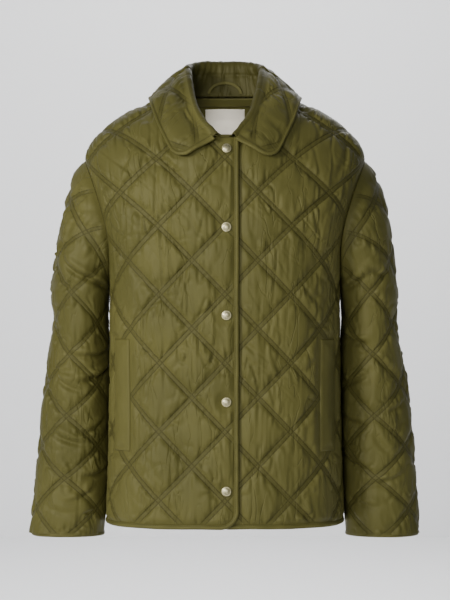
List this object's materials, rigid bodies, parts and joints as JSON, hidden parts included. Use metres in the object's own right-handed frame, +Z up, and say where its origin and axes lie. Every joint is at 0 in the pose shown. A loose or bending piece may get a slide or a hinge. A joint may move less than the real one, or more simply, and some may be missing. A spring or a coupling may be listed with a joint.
{
  "type": "quilted jacket",
  "caption": "Hip-length diamond-quilted jacket with a bound club collar, bound edges, a snap front, side welt pockets and long straight sleeves, filled out as worn.",
  "frame": {"origin": "where the wearer's shoulders hold the jacket up: on the centre line, between the shoulder points at the level of the shoulder seams", "axes": "+Z up through the neck; the front opening faces -Y; +X is the wearer's left"},
  "size_m": [0.5826, 0.27, 0.7169],
  "materials": {
    "quilted_cloth": "soft sheen",
    "binding_cloth": "soft sheen",
    "snap_metal": "antique satin",
    "label_cloth": "matt"
  },
  "bodies": {
    "root": {"left_front": "quilted_cloth", "right_front": "quilted_cloth", "back": "quilted_cloth", "left_sleeve": "quilted_cloth", "right_sleeve": "quilted_cloth", "collar": "quilted_cloth", "left_pocket_welt": "quilted_cloth", "right_pocket_welt": "quilted_cloth", "left_front_binding": "binding_cloth", "right_front_binding": "binding_cloth", "back_hem_binding": "binding_cloth", "left_cuff_binding": "binding_cloth", "right_cuff_binding": "binding_cloth", "collar_binding": "binding_cloth", "back_neck_facing": "binding_cloth", "hanger_loop": "binding_cloth", "snap_1": "snap_metal", "snap_2": "snap_metal", "snap_3": "snap_metal", "snap_4": "snap_metal", "snap_5": "snap_metal", "neck_label": "label_cloth"}
  },
  "joints": []
}
